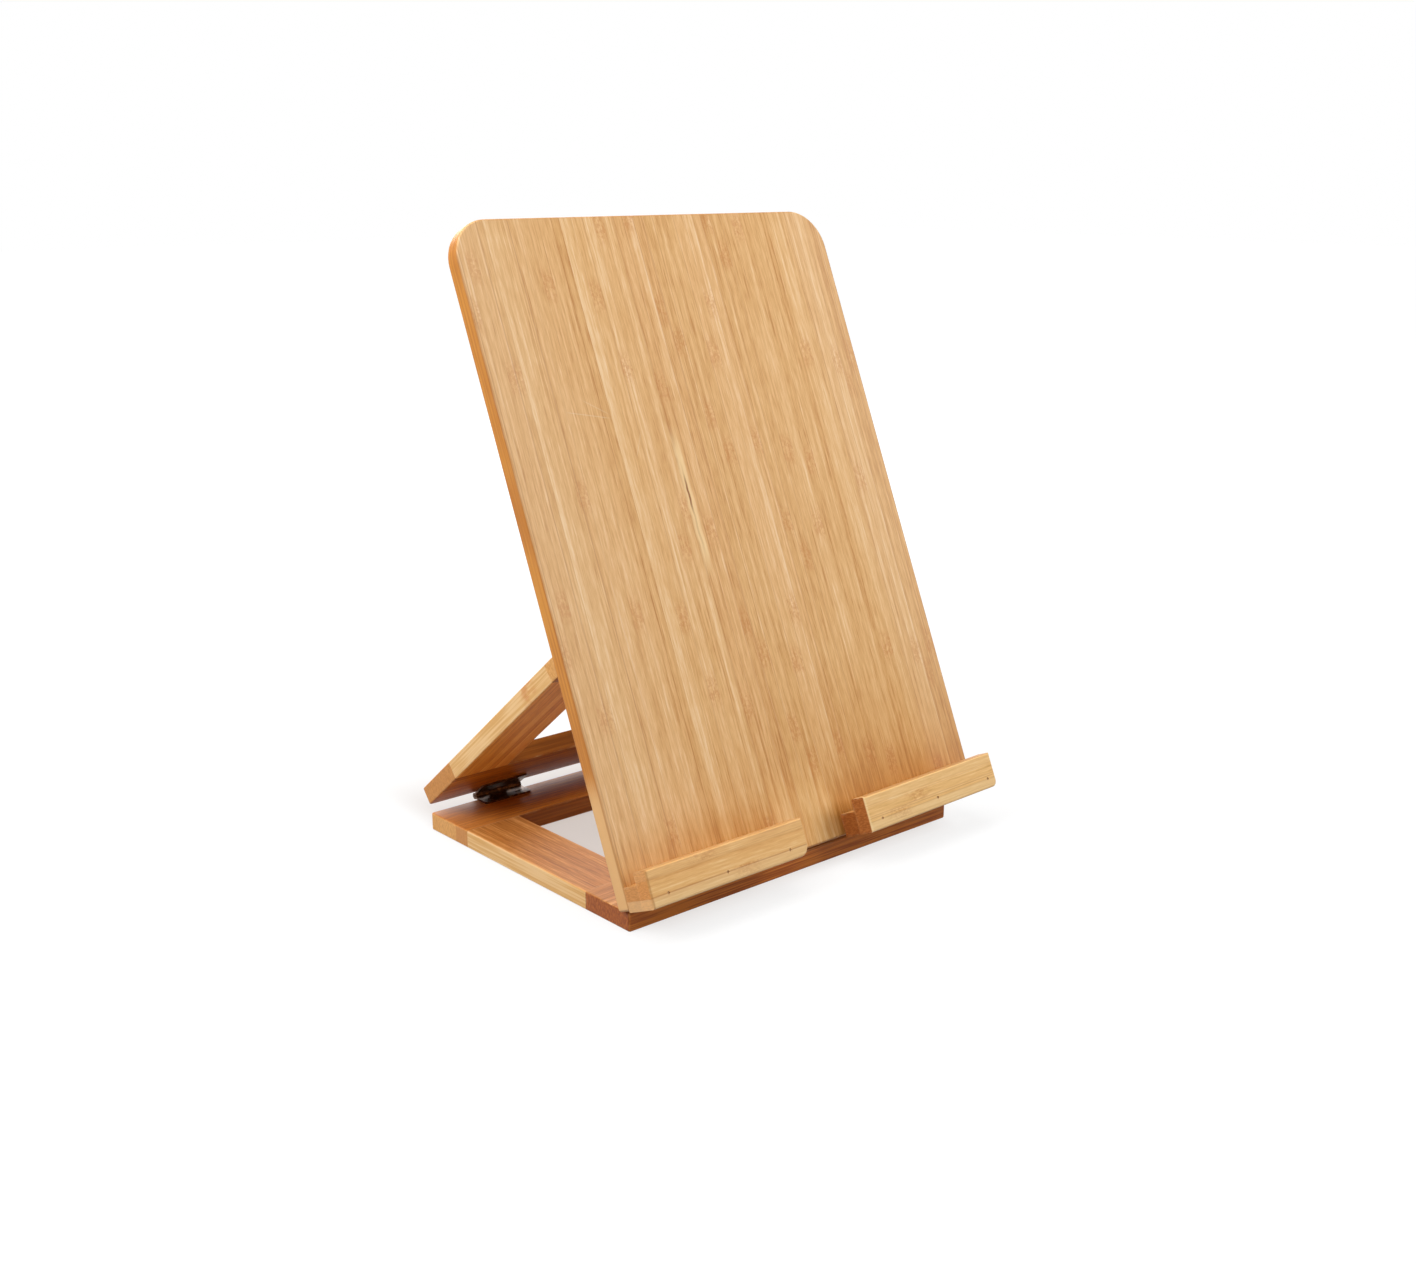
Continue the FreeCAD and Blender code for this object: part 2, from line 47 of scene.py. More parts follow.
# ------------------------------------------------------------- how it is lit and seen

WHITE = (1, 1, 1, 1)
AMBIENT = 0.1  # strength of the even light from all round
LAMPS = [
    # name, place and side in metres, power in watts
    ("overhead", (-0.1, 0.15, 1.5), 1.3, 14.0),
    ("left", (-1.15, 0.3, 1.0), 0.9, 20.0),
    ("front_right", (0.9, -1.0, 0.9), 0.9, 13.5),
    ("rear", (0.5, 1.3, 0.6), 0.9, 8.0),
]
LAMPS_AIM = Vector((0.0, 0.03, 0.13))

FLOOR_SIZE = 12.0
FLOOR_GREY = 0.35  # of the light that the floor gives back to the stand
FLOOR_GLOW = 0.83
# Painted shadow: the floor's glow is dimmed and browned inside the base frame.
PAINTED_SHADOW_GLOW = (0.66, 0.59, 0.55, 1)  # what is left of the glow inside the base frame

CAMERA_PLACE = (-0.5092, -0.53415, 0.3131)
CAMERA_PITCH = 15.35  # degrees below the horizon
CAMERA_AZIMUTH = 41.133  # degrees from +Y towards +X
CAMERA_LENS = 43.33
CAMERA_SENSOR = 36.0


def flat_box(node, turn):
    """A CAD node's lowest and highest corners once laid flat, in metres."""
    matrix = Euler([math.radians(angle) for angle in turn], "XYZ").to_matrix().to_4x4()
    points = [matrix @ vertex.co for vertex in frame["nodes"][node].data.vertices]
    low = Vector([min(point[axis] for point in points) for axis in range(3)])
    high = Vector([max(point[axis] for point in points) for axis in range(3)])
    return low, high


def srgb(red, green, blue):
    """A colour named by its screen values from 0 to 255, as the shader's linear values."""
    def linear(level):
        share = level / 255
        return share / 12.92 if share <= 0.04045 else ((share + 0.055) / 1.055) ** 2.4
    return (linear(red), linear(green), linear(blue), 1.0)


def grey(level):
    """A linear grey."""
    return (level, level, level, 1)


# ------------------------------------------------------------- shader arithmetic

class Value:
    """A socket that takes part in arithmetic; each operator adds a Math node."""

    def __init__(self, graph, socket):
        self.graph = graph
        self.socket = socket

    def math(self, operation, *others, clamp=False):
        return self.graph.node("ShaderNodeMath", {"operation": operation, "use_clamp": clamp},
                               dict(enumerate((self,) + others)))

    def __add__(self, other):
        return self.math("ADD", other)

    def __mul__(self, other):
        return self.math("MULTIPLY", other)

    def __sub__(self, other):
        return self.math("SUBTRACT", other)

    def __rsub__(self, other):
        return self.graph.value(other) - self

    def __truediv__(self, other):
        return self.math("DIVIDE", other)

    def __mod__(self, other):
        return self.math("FLOORED_MODULO", other)

    def __abs__(self):
        return self.math("ABSOLUTE")

    def __gt__(self, other):
        return self.math("GREATER_THAN", other)

    __radd__ = __add__
    __rmul__ = __mul__

    def least(self, other):
        return self.math("MINIMUM", other)

    def most(self, other):
        return self.math("MAXIMUM", other)

    def step(self, start, end):
        """0 up to start and 1 from end, smooth between them."""
        return self.graph.node("ShaderNodeMapRange", {"interpolation_type": "SMOOTHSTEP"},
                               {"Value": self, "From Min": start, "From Max": end})

    def fall(self, start, end):
        """1 up to start and 0 from end, smooth between them."""
        return 1 - self.step(start, end)

    def line(self, place, core, edge):
        """1 within core of a place and 0 beyond edge of it."""
        return abs(self - place).fall(core, edge)

    def between(self, start, end, soft):
        """1 from start to end, fading over twice soft at both."""
        return self.step(start - soft, start + soft) * self.fall(end - soft, end + soft)


class Graph:
    """A node tree, and the one method that adds its nodes."""

    def __init__(self, tree):
        self.tree = tree

    def node(self, kind, settings=None, inputs=None, output=0):
        """Add a node: its settings first, then its sockets' values or links."""
        node = self.tree.nodes.new(kind)
        for name, value in (settings or {}).items():
            if name == "stops":
                self.set_stops(node.color_ramp, value)
            else:
                setattr(node, name, value)
        for name, value in (inputs or {}).items():
            self.plug(node.inputs[name], value)
        return Value(self, node.outputs[output])

    def plug(self, socket, value):
        """Link a Value to a socket, or set the socket to a plain value."""
        if isinstance(value, Value):
            self.tree.links.new(value.socket, socket)
        else:
            socket.default_value = value

    def set_stops(self, ramp, stops):
        """Give a colour ramp its stops: a place and a colour each."""
        while len(ramp.elements) < len(stops):
            ramp.elements.new(0.5)
        for element, (place, colour) in zip(ramp.elements, stops):
            element.position = place
            element.color = colour

    def value(self, number):
        return self.node("ShaderNodeMath", {"operation": "ADD"}, {0: number, 1: 0.0})

    def combine(self, x, y, z):
        return self.node("ShaderNodeCombineXYZ", inputs={"X": x, "Y": y, "Z": z})

    def split(self, vector):
        return [self.node("ShaderNodeSeparateXYZ", inputs={0: vector}, output=axis) for axis in range(3)]

    def place(self):
        """The point on the object, in metres."""
        return self.node("ShaderNodeTexCoord", output="Object")

    def mapped(self, vector, **inputs):
        return self.node("ShaderNodeMapping", {"vector_type": "POINT"}, {"Vector": vector, **inputs})

    def noise(self, vector, scale=1.0, detail=2.0, roughness=0.5):
        return self.node("ShaderNodeTexNoise", {"noise_dimensions": "3D"},
                         {"Vector": vector, "Scale": scale, "Detail": detail, "Roughness": roughness})

    def ramp(self, tone, stops):
        return self.node("ShaderNodeValToRGB", {"stops": stops}, {"Fac": tone})

    def mix(self, share, first, second, blend="MIX"):
        """A colour between two colours; sockets 0, 6 and 7 are the factor and the colours."""
        return self.node("ShaderNodeMix", {"data_type": "RGBA", "blend_type": blend},
                         {0: share, 6: first, 7: second}, output=2)

    def bump(self, strength, distance, height):
        return self.node("ShaderNodeBump",
                         inputs={"Strength": strength, "Distance": distance, "Height": height})

    def rays(self, kind):
        """1 for one kind of ray, such as Is Camera Ray."""
        return self.node("ShaderNodeLightPath", output=kind)


class Finish(Graph):
    """One material and its shader."""

    def __init__(self, name):
        self.material = bpy.data.materials.new(name)
        self.material.use_nodes = True
        super().__init__(self.material.node_tree)
        self.shader = self.tree.nodes["Principled BSDF"]

    def set(self, **sockets):
        """Set or link the shader's own sockets, named with _ for spaces."""
        for name, value in sockets.items():
            self.plug(self.shader.inputs[name.replace("_", " ")], value)


# ------------------------------------------------------------- colours of the bamboo

def tones(*colours):
    """A ramp from the darkest of a wood's tones to the palest."""
    return list(zip((0.1, 0.35, 0.6, 0.9), colours))


HONEY = tones(srgb(192, 132, 66), srgb(214, 162, 97), srgb(229, 182, 122), srgb(242, 206, 158))
RAIL = tones(srgb(160, 96, 38), srgb(182, 117, 54), srgb(200, 135, 70), srgb(222, 164, 98))
STRUT_BACK = tones(srgb(170, 112, 56), srgb(190, 134, 74), srgb(204, 152, 92), srgb(220, 176, 120))
# Painted shade: saturated orange tones for the underside of the strut's side rails, standing in for its
# warm shade.
UNDER_STRUT_SHADE = tones(srgb(202, 122, 42), srgb(220, 142, 54), srgb(232, 156, 68), srgb(244, 180, 94))
# Painted shade: dark, saturated tones for the rear rail and the strut's cross rails, which lie in the
# shade of the strut and board.
DEEP_SHADE = tones(srgb(142, 74, 12), srgb(166, 92, 18), srgb(186, 110, 26), srgb(206, 132, 46))
LEFT_LEDGE = tones(srgb(204, 144, 78), srgb(222, 166, 98), srgb(232, 180, 111), srgb(244, 202, 142))
RIGHT_LEDGE = tones(srgb(212, 160, 90), srgb(230, 181, 111), srgb(240, 194, 128), srgb(247, 212, 154))

# A lighter and a darker colour each, for narrow sides and for end grain.
SIDE_OAT = (srgb(228, 188, 134), srgb(210, 160, 94))
# Painted shade: dark sides for the strut's cross rails, inside the strut's window.
SIDE_BROWN_SHADE = (srgb(148, 86, 28), srgb(122, 66, 16))
SIDE_AMBER = (srgb(200, 134, 54), srgb(180, 112, 40))
SIDE_LEDGE = (srgb(196, 144, 84), srgb(180, 124, 64))
# Partly the wood's own darker side grain and partly painted shade under the ledges: the sides of the base
# front rail.
SIDE_FRONT_TONE_AND_SHADE = (srgb(216, 128, 48), srgb(166, 84, 22))
# Painted shade: darker sides for the rear rail, whose inner side lies in the strut's shade.
SIDE_REAR_SHADE = (srgb(184, 112, 42), srgb(160, 92, 30))
END_TAN = (srgb(218, 162, 94), srgb(196, 138, 72))
END_AMBER = (srgb(198, 136, 68), srgb(178, 116, 54))
END_BROWN = (srgb(170, 94, 36), srgb(130, 62, 20))
END_SHELF = (srgb(202, 140, 76), srgb(182, 120, 62))
END_LIP = (srgb(212, 146, 78), srgb(190, 124, 62))
# Painted shade: darker ends for the right ledge, whose inner end lies in the shade between the ledges.
END_SHADED_SHELF = (srgb(166, 96, 42), srgb(138, 74, 28))
END_SHADED_LIP = (srgb(180, 110, 54), srgb(150, 86, 38))

CANE_NODE = srgb(196, 124, 56)
GLUE_LINE = srgb(166, 98, 40)
RUBBED_EDGE = srgb(232, 198, 152)

# ------------------------------------------------------------- bamboo

NODE_SPACING = 150.0  # millimetres between two nodes of the cane
STRIP_SHIFT = 900.0  # how far a strip's pattern may be moved along its grain, so that no two match
FINE_SHIFT = 200.0  # the same for the narrow strips in it
WIDE_SHIFT = 300.0  # the same for the wide groups of strips


class Timber(Finish):
    """A finish with coordinates in millimetres along, across and through one piece of wood.

    The piece is laid flat by its turn, with its lowest corner at the origin. Its grain runs along
    "x" or "y" of the flat piece.
    """

    def __init__(self, name, node, turn, grain, seed):
        super().__init__(name)
        low, high = flat_box(node, turn)
        self.size = [length * MM for length in high - low]
        self.seed = seed
        rotation = [math.radians(angle) for angle in turn]
        self.x, self.y, self.z = self.split(
            self.mapped(self.place(), Location=-low * MM, Scale=(MM, MM, MM), Rotation=rotation))
        normal = self.node("ShaderNodeTexCoord", output="Normal")
        facing_x, facing_y, facing_z = self.split(self.mapped(normal, Rotation=rotation))
        self.up_on = facing_z.step(0.5, 0.8)
        if grain == "x":
            self.along, self.across, ends, sides = self.x, self.y, facing_x, facing_y
        else:
            self.along, self.across, ends, sides = self.y, self.x, facing_y, facing_x
        self.end_on = abs(ends).step(0.6, 0.92)
        self.side_on = abs(sides).step(0.55, 0.9)

    def edge_distance(self):
        """How far a point of the surface is from the nearest edge of the piece."""
        places = (self.x, self.y, self.z)
        gaps = [place.least(length - place) for place, length in zip(places, self.size)]
        total = gaps[0] + gaps[1] + gaps[2]
        return total - gaps[0].most(gaps[1]).most(gaps[2]) - gaps[0].least(gaps[1]).least(gaps[2])

    def strips(self, width, evenness=0.45):
        """Three random numbers for each strip, the place across it, and the distance to its glue line."""
        place = self.across / width + self.seed
        cell = {"W": place, "Scale": 1.0, "Randomness": 1.0 - evenness}
        nearest = {"voronoi_dimensions": "1D"}
        colour = self.node("ShaderNodeTexVoronoi", nearest, cell, output="Color")
        middle = self.node("ShaderNodeTexVoronoi", nearest, cell, output="W")
        border = self.node("ShaderNodeTexVoronoi", {**nearest, "feature": "DISTANCE_TO_EDGE"}, cell)
        return self.split(colour), place - middle, border * width

    def grain_noise(self, across, along, shift=0.0, detail=2.0, roughness=0.55):
        """Noise drawn out along the grain: how many cells to a millimetre each way."""
        place = self.combine(self.across * across, self.along * along + shift, self.z * 0.3)
        return self.noise(place, detail=detail, roughness=roughness)

    def tint(self, share, colour, blend="MIX"):
        """Mix a colour into the wood's own."""
        self.colour = self.mix(share, self.colour, colour, blend)


def bamboo(node, turn, grain, seed, stops, ends, sides, strip=6.0, contrast=1.0, blush=0.25,
           upper_stops=None):
    """Laminated bamboo: strips of varied tone with fibres, nodes, glue lines and end grain.

    ends and sides are each a lighter and a darker colour, for the end grain and the narrow sides.
    upper_stops, where given, are the tones of the face that is uppermost when the piece lies flat.
    """
    wood = Timber(node + "_bamboo", node, turn, grain, seed)
    (tint, shift, chance), side, glue = wood.strips(strip)
    (fine_tint, fine_shift, _), _, _ = wood.strips(0.3 * strip, 0.2)
    (wide_tint, wide_shift, wide_chance), _, wide_glue = wood.strips(3.0 * strip, 0.3)
    offset = shift * STRIP_SHIFT

    # A strip is often darker towards one of its sides, where the cane's outer wall was.
    wall = side * (chance - 0.5) * 2.0

    # Fibres from long and soft to short and fine, which never cross from one strip to the next.
    long = wood.grain_noise(0.8, 0.003, offset)
    streak = wood.grain_noise(0.8, 0.03, offset + fine_shift * FINE_SHIFT, roughness=0.6)
    fleck = wood.grain_noise(1.4, 0.11, offset, roughness=0.65)
    cloud = wood.grain_noise(0.1, 0.02, wide_shift * WIDE_SHIFT)
    tone = (0.5 + (tint - 0.5) * (0.24 * contrast) + (fine_tint - 0.5) * (0.18 * contrast)
            + (wide_tint - 0.5) * (0.1 * contrast) + wall * (0.24 * contrast)
            + (long - 0.5) * (0.6 * contrast) + (streak - 0.5) * (0.65 * contrast)
            + (fleck - 0.5) * (0.85 * contrast) + (cloud - 0.5) * (0.25 * contrast))
    wood.colour = wood.ramp(tone, stops)
    if upper_stops:
        wood.colour = wood.mix(wood.up_on, wood.colour, wood.ramp(tone, upper_stops))
    blushing = (wide_chance + cloud * 0.6 - 0.3).math("MULTIPLY", blush, clamp=True)
    wood.tint(blushing, srgb(255, 246, 252), "MULTIPLY")

    # Nodes of the cane: a mottled patch here and there, one strip wide.
    from_node = abs((wood.along + offset) % NODE_SPACING - NODE_SPACING / 2)
    mottle = wood.grain_noise(0.9, 0.55, offset, 3.0, 0.65)
    wood.tint(from_node.fall(2.0, 11.0) * mottle.step(0.4, 0.6) * (chance > 0.35) * 0.5, CANE_NODE)

    # Glue lines show at some of the strips.
    wide_line = wide_glue.fall(0.1, 0.5) * (wide_chance > 0.35)
    fine_line = glue.fall(0.08, 0.4) * (chance > 0.55)
    wood.tint(wide_line * 0.4 + fine_line * 0.24, GLUE_LINE)

    lighter, darker = sides
    side_grain = wood.noise(wood.combine(wood.z * 0.9, wood.along * 0.02, seed), detail=3.0)
    side_cloud = wood.noise(wood.combine(wood.z * 0.02, wood.along * 0.025, seed + 3.0))
    side_tone = (side_grain * 0.7 + side_cloud * 0.3).step(0.4, 0.6)
    wood.tint(wood.side_on, wood.mix(side_tone, darker, lighter))

    # End grain: the cane's fibre bundles as fine upright dashes.
    lighter, darker = ends
    bundle = wood.noise(wood.combine(wood.across * 1.9, wood.z * 0.55, seed + tint * 9.0),
                        detail=3.0, roughness=0.6)
    wood.tint(wood.end_on, wood.mix(bundle.step(0.36, 0.66), darker, lighter))

    # Wear: the edges are a little paler and duller where hands have rubbed them.
    rub = wood.noise(wood.combine(wood.x * 0.12, wood.y * 0.12, wood.z * 0.3), detail=3.0)
    wood.worn = wood.edge_distance().fall(0.2, 1.2) * rub.step(0.42, 0.66)
    wood.tint(wood.worn * 0.2, RUBBED_EDGE)
    wood.relief = fleck * 0.7 + streak * 0.4 - wide_line * 0.5
    wood.fibre = fleck
    return wood


def lacquer(wood):
    """The thin satin lacquer over a bamboo finish, and its link to the shader."""
    wood.set(Base_Color=wood.colour, Roughness=0.5 + (wood.fibre - 0.5) * 0.2 + wood.worn * 0.1,
             Normal=wood.bump(0.16, 0.00022, wood.relief), Coat_Weight=0.06, Coat_Roughness=0.35,
             Specular_IOR_Level=0.22)
    return wood.material


def fissure(wood, across, start, end, darkest):
    """A hairline crack along the grain of the front, in a paler streak; all in millimetres."""
    wander = (wood.grain_noise(0.05, 0.09, 3.0) - 0.5) * 2.2
    off = wood.across - across - wander
    deep = wood.along.line(darkest, 2.0, 11.0)
    streak = off.line(0.0, 1.2, 2.8) * wood.along.between(start - 8.0, end + 14.0, 9.0) * wood.up_on
    crack = off.line(0.0, 0.25, 0.75) * wood.along.between(start, end, 6.0) * wood.up_on
    wood.tint(streak * 0.6, srgb(255, 224, 168))
    wood.tint(crack * (0.25 + 0.75 * deep), srgb(148, 88, 30))
    wood.relief = wood.relief - crack * deep * 0.25


def scratch(wood, x, y, length, slant, strength):
    """A faint pale scratch from a point of the face, at a slant in degrees to +X."""
    turn = math.radians(slant)
    ahead = (wood.x - x) * math.cos(turn) + (wood.y - y) * math.sin(turn)
    aside = (wood.y - y) * math.cos(turn) - (wood.x - x) * math.sin(turn)
    mark = aside.line(0.0, 0.05, 0.35) * ahead.step(0.0, 4.0) * ahead.fall(length - 6.0, length)
    wood.tint(mark * wood.up_on * strength, srgb(240, 220, 188))


def board_finish():
    """The board, with a painted sheen on both sides, painted shade towards the foot and behind the
    ledges, painted light between them, and orange-brown edges.
    """
    wood = bamboo("board", BOARD, "y", 3.0, HONEY, ends=END_TAN, sides=SIDE_AMBER)
    front = wood.up_on
    toe_light = wood.y.fall(18.0, 44.0) * wood.x.between(89.0, 125.0, 3.0)  # bare, between the ledges
    # Painted shade: the face darkens towards its foot, and again just behind the ledges.
    foot = wood.y.fall(16.0, 95.0) * wood.x.step(30.0, 150.0) * (1 - toe_light)
    wood.tint(foot * front, srgb(239, 226, 199), "MULTIPLY")
    ledge_shadow = wood.y.fall(14.0, 38.0) * (1 - toe_light)
    wood.tint(ledge_shadow * front, srgb(240, 230, 198), "MULTIPLY")
    # Painted light: the bare face between the ledges is brightened.
    wood.tint(toe_light * front, srgb(136, 80, 40), "SCREEN")
    # Painted sheen: both sides of the face are paler, as if catching a reflection.
    sheen_sides = wood.x.fall(4.0, 60.0) + wood.x.step(186.0, 204.0)
    wood.tint(sheen_sides * front, srgb(88, 74, 62), "SCREEN")
    low_side = wood.side_on * wood.y.fall(44.0, 62.0)
    wood.tint(low_side * 0.85, srgb(222, 176, 120))
    # Painted shade: a thin dark line along every arris of the board.
    arris_shade = wood.edge_distance().fall(0.3, 1.2)
    wood.tint(arris_shade * 0.5, srgb(150, 86, 30))
    fissure(wood, across=90.3, start=145.0, end=182.0, darkest=170.0)
    scratch(wood, x=34.0, y=214.0, length=26.0, slant=-12.0, strength=0.3)
    scratch(wood, x=44.0, y=219.0, length=18.0, slant=-31.0, strength=0.25)
    scratch(wood, x=66.0, y=189.0, length=16.0, slant=62.0, strength=0.25)
    return lacquer(wood)


def ledge_finish(node, turn, seed, stops, ends, edge, end_bands):
    """One strip of a ledge, of three laminations; a dark glue line runs over the lowest.

    edge is the colour of the lip's left front edge: a darker line on the left ledge and a painted
    highlight on the right one. end_bands is how far the laminations show on the ends.
    """
    wood = bamboo(node, turn, "x", seed, stops, ends, SIDE_LEDGE, strip=4.4, blush=0.1)
    height = wood.y + (wood.grain_noise(0.02, 0.02) - 0.5) * 0.8
    banded = 1 - wood.end_on * (1 - end_bands)
    low = height.fall(4.3, 4.7) * banded
    high = height.step(11.9, 12.5) * banded
    wood.tint(low * 0.34 + high * 0.12, srgb(230, 200, 150))
    wood.tint(height.line(4.5, 0.1, 0.38) * banded * 0.22, srgb(172, 112, 56))
    if node.endswith("lip"):
        # The lip's left front edge; on the right ledge its colour is a painted highlight.
        edge_line_and_highlight = wood.x.fall(0.7, 1.5) * (1 - wood.end_on)
        wood.tint(edge_line_and_highlight * 0.5, edge)
    wood.tint(height.line(12.2, 0.1, 0.4) * 0.18, srgb(186, 128, 72))
    return lacquer(wood)


# ------------------------------------------------------------- metal and dowels

def metal(name, dark, bright, roughness, seed, shine=0.55):
    """Darkened metal, rubbed brighter in patches."""
    finish = Finish(name)
    place = finish.mapped(finish.place(), Scale=(MM, MM, MM), Location=(seed, seed, seed))
    cloud = finish.noise(place, scale=0.35, detail=4.0, roughness=0.6)
    grit = finish.noise(place, scale=3.0, detail=3.0, roughness=0.7)
    rubbed = (cloud * 0.7 + grit * 0.3).step(0.5, 0.66)
    finish.set(Base_Color=finish.mix(rubbed, dark, bright), Metallic=shine,
               Normal=finish.bump(0.25, 0.0001, grit), Roughness=roughness + (grit - 0.5) * 0.25)
    return finish.material


def dowel_finish():
    """Bare turned dowels, hidden in the joints."""
    finish = Finish("dowel_wood")
    place = finish.mapped(finish.place(), Scale=(2 * MM, 0.1 * MM, 2 * MM))
    grain = finish.noise(place, detail=3.0)
    finish.set(Base_Color=finish.mix(grain.step(0.3, 0.7), srgb(196, 158, 112), srgb(222, 190, 146)),
               Roughness=0.7)
    return finish.material


# ------------------------------------------------------------- the pieces and their finishes

def dress(node, material):
    """Give a CAD node its material and nothing else."""
    slots = frame["nodes"][node].data.materials
    slots.clear()
    slots.append(material)


def dress_rails():
    """The eight rails, each with the tones of its own faces, ends and sides; several of them carry
    painted shade.
    """
    rails = [
        ("base_front_rail", FLAT, "x", RAIL, END_BROWN, SIDE_FRONT_TONE_AND_SHADE),
        ("base_rear_rail", FLAT, "x", DEEP_SHADE, END_TAN, SIDE_REAR_SHADE),
        ("base_left_rail", FLAT, "y", RAIL, END_TAN, SIDE_OAT),
        ("base_right_rail", FLAT, "y", RAIL, END_TAN, SIDE_OAT),
        ("strut_top_rail", STRUT, "x", DEEP_SHADE, END_TAN, SIDE_BROWN_SHADE),
        ("strut_bottom_rail", STRUT, "x", DEEP_SHADE, END_AMBER, SIDE_BROWN_SHADE),
        ("strut_left_rail", STRUT, "y", UNDER_STRUT_SHADE, END_TAN, SIDE_OAT),
        ("strut_right_rail", STRUT, "y", UNDER_STRUT_SHADE, END_TAN, SIDE_OAT),
    ]
    for number, (node, turn, grain, stops, ends, sides) in enumerate(rails):
        # On the strut the face uppermost when laid flat is its back, in plain tones; its other faces
        # carry painted shade.
        wood = bamboo(node, turn, grain, 11.0 + 7.3 * number, stops, ends, sides, strip=7.0,
                      contrast=1.3, blush=0.1, upper_stops=STRUT_BACK if turn == STRUT else None)
        if node == "base_rear_rail":
            front_strip = wood.end_on * wood.y.fall(9.6, 10.2)
            wood.tint(front_strip * 0.6, srgb(180, 114, 58))
            # Painted light: the left end of the rear rail's top, out of the shade above, is paler.
            painted_light_left = wood.x.fall(12.0, 48.0) * (1 - wood.end_on) * (1 - wood.side_on)
            wood.tint(painted_light_left, srgb(96, 62, 40), "SCREEN")
        if node == "strut_left_rail":
            knot = wood.side_on * wood.along.between(14.0, 25.0, 3.0)
            wood.tint(knot * wood.fibre.step(0.4, 0.6) * 0.6, srgb(196, 122, 58))
        dress(node, lacquer(wood))


def dress_ledges():
    """The shelf and the lip of both ledges; the right ledge's wood is paler, its ends darker as painted
    shade, and its lip's edge a painted highlight.
    """
    left = {"stops": LEFT_LEDGE, "edge": srgb(160, 100, 48), "end_bands": 1.0}
    # The right ledge's edge colour is a painted highlight.
    right = {"stops": RIGHT_LEDGE, "edge": srgb(250, 218, 164), "end_bands": 0.0}
    pieces = [
        ("left_ledge_shelf", BOARD, END_SHELF, left),
        ("left_ledge_lip", BOARD, END_LIP, left),
        ("right_ledge_shelf", CROOKED, END_SHADED_SHELF, right),
        ("right_ledge_lip", CROOKED, END_SHADED_LIP, right),
    ]
    for number, (node, turn, ends, looks) in enumerate(pieces):
        dress(node, ledge_finish(node, turn, 69.4 + 7.3 * number, ends=ends, **looks))


def dress_all():
    """Each CAD node's finish."""
    dress("board", board_finish())
    dress_rails()
    dress_ledges()
    bronze = metal("hinge_bronze", srgb(82, 50, 26), srgb(150, 108, 70), 0.32, 2.0)
    steel = metal("screw_steel", srgb(92, 60, 34), srgb(164, 122, 82), 0.34, 5.0)
    nail = metal("brad_steel", srgb(176, 128, 78), srgb(196, 150, 98), 0.6, 8.0, shine=0.1)
    dowel = dowel_finish()
    for node in frame["nodes"]:
        if "screws" in node:
            dress(node, steel)
        elif "hinge" in node:
            dress(node, bronze)
        elif "brads" in node:
            dress(node, nail)
        elif "dowels" in node:
            dress(node, dowel)


# ------------------------------------------------------------- floor, light and camera

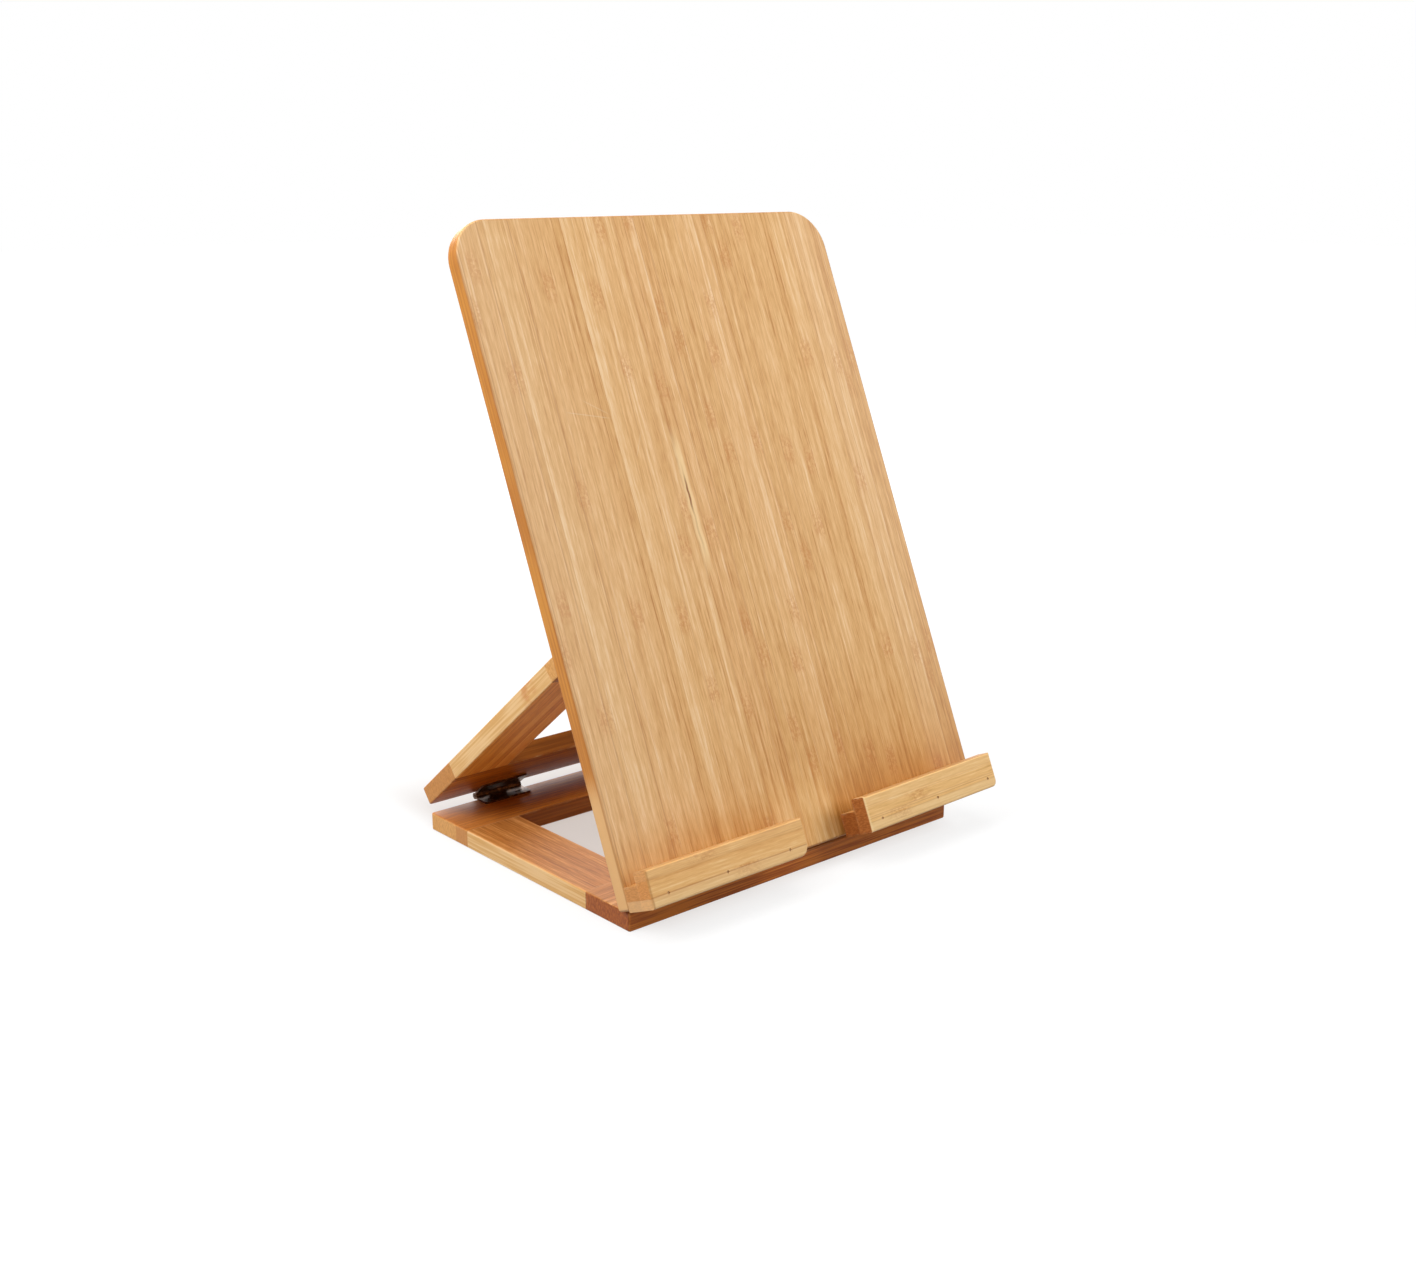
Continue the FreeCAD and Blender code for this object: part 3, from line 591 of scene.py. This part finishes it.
def floor():
    """A white floor that keeps the stand's soft shadow, with a painted shadow that greys it inside the
    base frame.
    """
    bpy.ops.mesh.primitive_plane_add(size=FLOOR_SIZE, location=(0, 0, 0))
    plane = bpy.context.object
    plane.name = "floor"
    finish = Finish("floor_white")
    where = finish.place()
    x, y, _ = finish.split(where)
    away = finish.node("ShaderNodeVectorMath", {"operation": "LENGTH"}, {0: where}, output="Value")
    seen = finish.rays("Is Camera Ray")
    low, high = flat_box("base_front_rail", FLAT)
    rear = flat_box("base_rear_rail", FLAT)[1].y
    # Painted shadow: the area inside the base frame, where the glow is dimmed.
    painted_shadow_area = (y.step(low.y - 0.02, low.y + 0.03) * y.fall(rear - 0.01, rear + 0.09)
                 * x.step(low.x - 0.005, low.x + 0.02) * x.fall(high.x - 0.02, high.x + 0.005))
    strength = FLOOR_GLOW + (1 - FLOOR_GLOW) * away.step(0.3, 1.0)
    shown = seen.most(finish.rays("Is Glossy Ray")).most(finish.rays("Is Transmission Ray"))
    glow = finish.node("ShaderNodeEmission", inputs={
        "Color": finish.mix(painted_shadow_area, WHITE, PAINTED_SHADOW_GLOW), "Strength": shown * strength})
    finish.set(Base_Color=finish.mix(seen, grey(FLOOR_GREY), grey(1 - FLOOR_GLOW)), Roughness=0.9,
               Specular_IOR_Level=0.0)
    both = finish.node("ShaderNodeAddShader",
                       inputs={0: Value(finish, finish.shader.outputs[0]), 1: glow})
    finish.plug(finish.tree.nodes["Material Output"].inputs["Surface"], both)
    plane.data.materials.append(finish.material)


def world():
    """White to the camera, to gloss and through glass, and a low even light otherwise."""
    surroundings = bpy.data.worlds.new("studio")
    surroundings.use_nodes = True
    bpy.context.scene.world = surroundings
    graph = Graph(surroundings.node_tree)
    shown = graph.rays("Is Camera Ray").most(graph.rays("Is Transmission Ray"))
    strength = graph.node("ShaderNodeMapRange", inputs={
        "Value": shown.most(graph.rays("Is Glossy Ray")), "To Min": AMBIENT})
    background = graph.tree.nodes["Background"]
    graph.plug(background.inputs["Strength"], strength)
    graph.plug(background.inputs["Color"], WHITE)


def lamp(name, place, size, power):
    """A square soft box that faces the stand."""
    data = bpy.data.lights.new(name, "AREA")
    data.shape = "SQUARE"
    data.size = size
    data.energy = power
    light = bpy.data.objects.new(name, data)
    bpy.context.scene.collection.objects.link(light)
    light.location = place
    light.rotation_euler = (LAMPS_AIM - Vector(place)).to_track_quat("-Z", "Y").to_euler()


def camera():
    """The viewing angle: from the stand's left front, a little above it."""
    data = bpy.data.cameras.new("camera")
    data.sensor_width = CAMERA_SENSOR
    data.lens = CAMERA_LENS
    view = bpy.data.objects.new("camera", data)
    bpy.context.scene.collection.objects.link(view)
    view.location = CAMERA_PLACE
    view.rotation_euler = (math.radians(90 - CAMERA_PITCH), 0.0, math.radians(-CAMERA_AZIMUTH))
    bpy.context.scene.camera = view


bpy.ops.object.select_all(action="DESELECT")
dress_all()
floor()
world()
for settings in LAMPS:
    lamp(*settings)
camera()
bpy.context.scene.view_settings.view_transform = "Standard"
